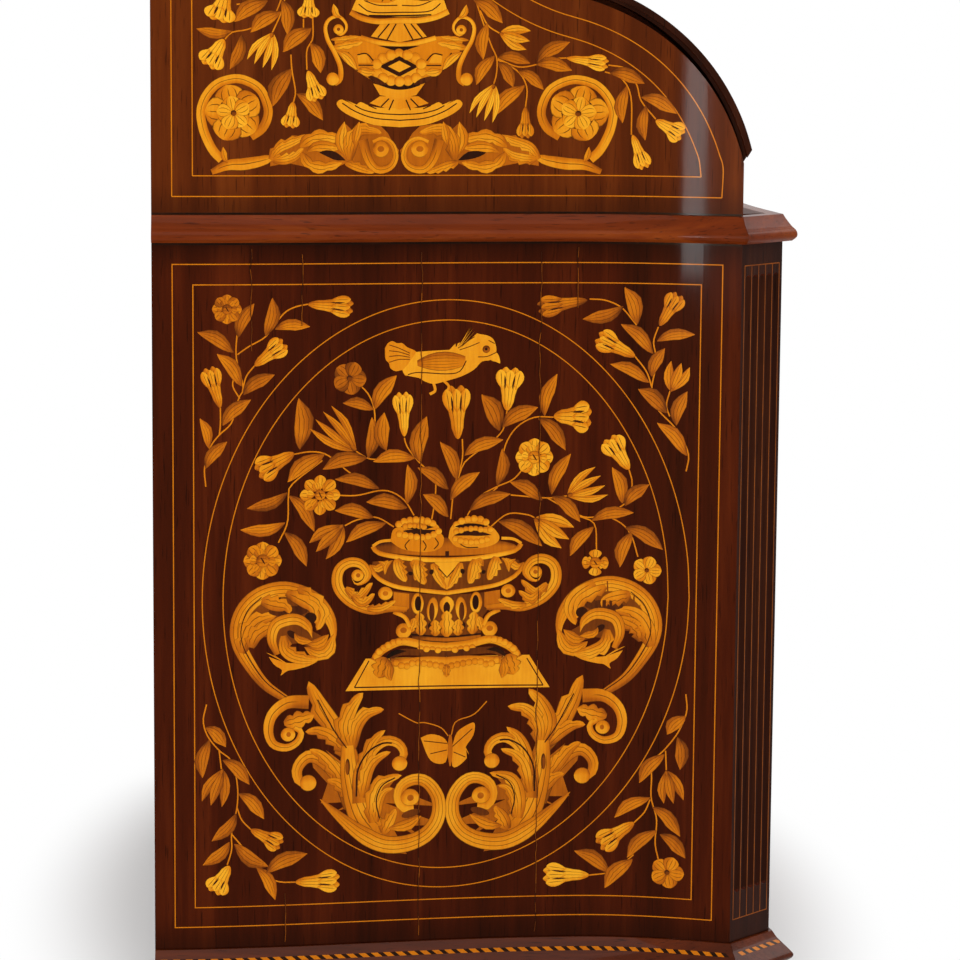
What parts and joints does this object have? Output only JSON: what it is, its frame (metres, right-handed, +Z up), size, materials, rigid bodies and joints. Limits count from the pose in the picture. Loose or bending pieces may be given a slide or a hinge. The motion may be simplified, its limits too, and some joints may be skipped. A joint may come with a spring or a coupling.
{
  "type": "fall-front secretary",
  "caption": "Serpentine fall-front writing desk with an ogee fall hinged at the bed, canted fluted corners, drawers with bail pulls, lopers and a fitted interior.",
  "frame": {"origin": "on the floor, at the middle of the overall box", "axes": "+X to the right seen from the front, +Y towards the back, +Z up; the front faces -Y"},
  "size_m": [1.168, 0.5842, 1.0388],
  "materials": {
    "mahogany_veneer": "polished veneer with floral marquetry",
    "moulding_mahogany": "polished solid mahogany",
    "oak_carcase": "unpolished oak",
    "brass": "aged cast brass",
    "writing_leather": "tooled hide"
  },
  "bodies": {
    "case": {"lower_left_side": "mahogany_veneer", "lower_right_side": "mahogany_veneer", "left_corner_post": "mahogany_veneer", "right_corner_post": "mahogany_veneer", "back_panel": "oak_carcase", "case_bottom": "mahogany_veneer", "case_top": "mahogany_veneer", "lower_drawer_rail": "mahogany_veneer", "upper_drawer_rail": "mahogany_veneer", "left_loper_guide": "mahogany_veneer", "right_loper_guide": "mahogany_veneer", "waist_moulding_left": "moulding_mahogany", "waist_moulding_right": "moulding_mahogany", "waist_moulding_front": "moulding_mahogany", "base_moulding_left": "moulding_mahogany", "base_moulding_right": "moulding_mahogany", "base_moulding_front": "moulding_mahogany", "rear_left_foot": "moulding_mahogany", "rear_right_foot": "moulding_mahogany", "front_left_foot": "moulding_mahogany", "front_right_foot": "moulding_mahogany", "left_cheek": "mahogany_veneer", "right_cheek": "mahogany_veneer", "top_board": "mahogany_veneer", "fall_rest_rail": "mahogany_veneer", "writing_bed": "mahogany_veneer", "front_rail": "mahogany_veneer", "left_nest_partition": "mahogany_veneer", "right_nest_partition": "mahogany_veneer", "left_nest_shelf": "mahogany_veneer", "right_nest_shelf": "mahogany_veneer", "left_hinge_bed_leaf": "brass", "right_hinge_bed_leaf": "brass"},
    "fall": {"fall_shell": "mahogany_veneer", "fall_frame": "mahogany_veneer", "writing_leather": "writing_leather", "left_hinge_lid_leaf": "brass", "right_hinge_lid_leaf": "brass"},
    "left_loper": {"left_loper": "mahogany_veneer"},
    "right_loper": {"right_loper": "mahogany_veneer"},
    "left_nest_drawer": {"left_nest_drawer": "mahogany_veneer"},
    "right_nest_drawer": {"right_nest_drawer": "mahogany_veneer"},
    "top_drawer": {"top_drawer_front": "mahogany_veneer", "top_drawer_box": "oak_carcase", "top_left_pull_plate": "brass", "top_right_pull_plate": "brass"},
    "middle_drawer": {"middle_drawer_front": "mahogany_veneer", "middle_drawer_box": "oak_carcase", "middle_left_pull_plate": "brass", "middle_right_pull_plate": "brass"},
    "bottom_drawer": {"bottom_drawer_front": "mahogany_veneer", "bottom_drawer_box": "oak_carcase", "bottom_left_pull_plate": "brass", "bottom_right_pull_plate": "brass"},
    "top_left_bail": {"top_left_bail": "brass"},
    "top_right_bail": {"top_right_bail": "brass"},
    "middle_left_bail": {"middle_left_bail": "brass"},
    "middle_right_bail": {"middle_right_bail": "brass"},
    "bottom_left_bail": {"bottom_left_bail": "brass"},
    "bottom_right_bail": {"bottom_right_bail": "brass"}
  },
  "joints": [
    {"name": "fall_hinge", "type": "hinge", "parent": "case", "child": "fall", "pos_m": [0, -0.2279, 0.8065], "axis": [1, 0, 0], "range_deg": [0, 148.5]},
    {"name": "left_loper_slide", "type": "slide", "parent": "case", "child": "left_loper", "axis": [0, -1, 0], "range_m": [0, 0.25]},
    {"name": "right_loper_slide", "type": "slide", "parent": "case", "child": "right_loper", "axis": [0, -1, 0], "range_m": [0, 0.25]},
    {"name": "left_nest_drawer_slide", "type": "slide", "parent": "case", "child": "left_nest_drawer", "axis": [0, -1, 0], "range_m": [0, 0.14]},
    {"name": "right_nest_drawer_slide", "type": "slide", "parent": "case", "child": "right_nest_drawer", "axis": [0, -1, 0], "range_m": [0, 0.14]},
    {"name": "top_drawer_slide", "type": "slide", "parent": "case", "child": "top_drawer", "axis": [0, -1, 0], "range_m": [0, 0.36]},
    {"name": "middle_drawer_slide", "type": "slide", "parent": "case", "child": "middle_drawer", "axis": [0, -1, 0], "range_m": [0, 0.36]},
    {"name": "bottom_drawer_slide", "type": "slide", "parent": "case", "child": "bottom_drawer", "axis": [0, -1, 0], "range_m": [0, 0.36]},
    {"name": "top_left_bail_pivot", "type": "hinge", "parent": "top_drawer", "child": "top_left_bail", "pos_m": [-0.33, -0.26557, 0.6915], "axis": [-1, 0, 0], "range_deg": [0, 90]},
    {"name": "top_right_bail_pivot", "type": "hinge", "parent": "top_drawer", "child": "top_right_bail", "pos_m": [0.33, -0.26557, 0.6915], "axis": [-1, 0, 0], "range_deg": [0, 90]},
    {"name": "middle_left_bail_pivot", "type": "hinge", "parent": "middle_drawer", "child": "middle_left_bail", "pos_m": [-0.33, -0.26557, 0.5095], "axis": [-1, 0, 0], "range_deg": [0, 90]},
    {"name": "middle_right_bail_pivot", "type": "hinge", "parent": "middle_drawer", "child": "middle_right_bail", "pos_m": [0.33, -0.26557, 0.5095], "axis": [-1, 0, 0], "range_deg": [0, 90]},
    {"name": "bottom_left_bail_pivot", "type": "hinge", "parent": "bottom_drawer", "child": "bottom_left_bail", "pos_m": [-0.33, -0.26557, 0.25275], "axis": [-1, 0, 0], "range_deg": [0, 90]},
    {"name": "bottom_right_bail_pivot", "type": "hinge", "parent": "bottom_drawer", "child": "bottom_right_bail", "pos_m": [0.33, -0.26557, 0.25275], "axis": [-1, 0, 0], "range_deg": [0, 90]}
  ]
}
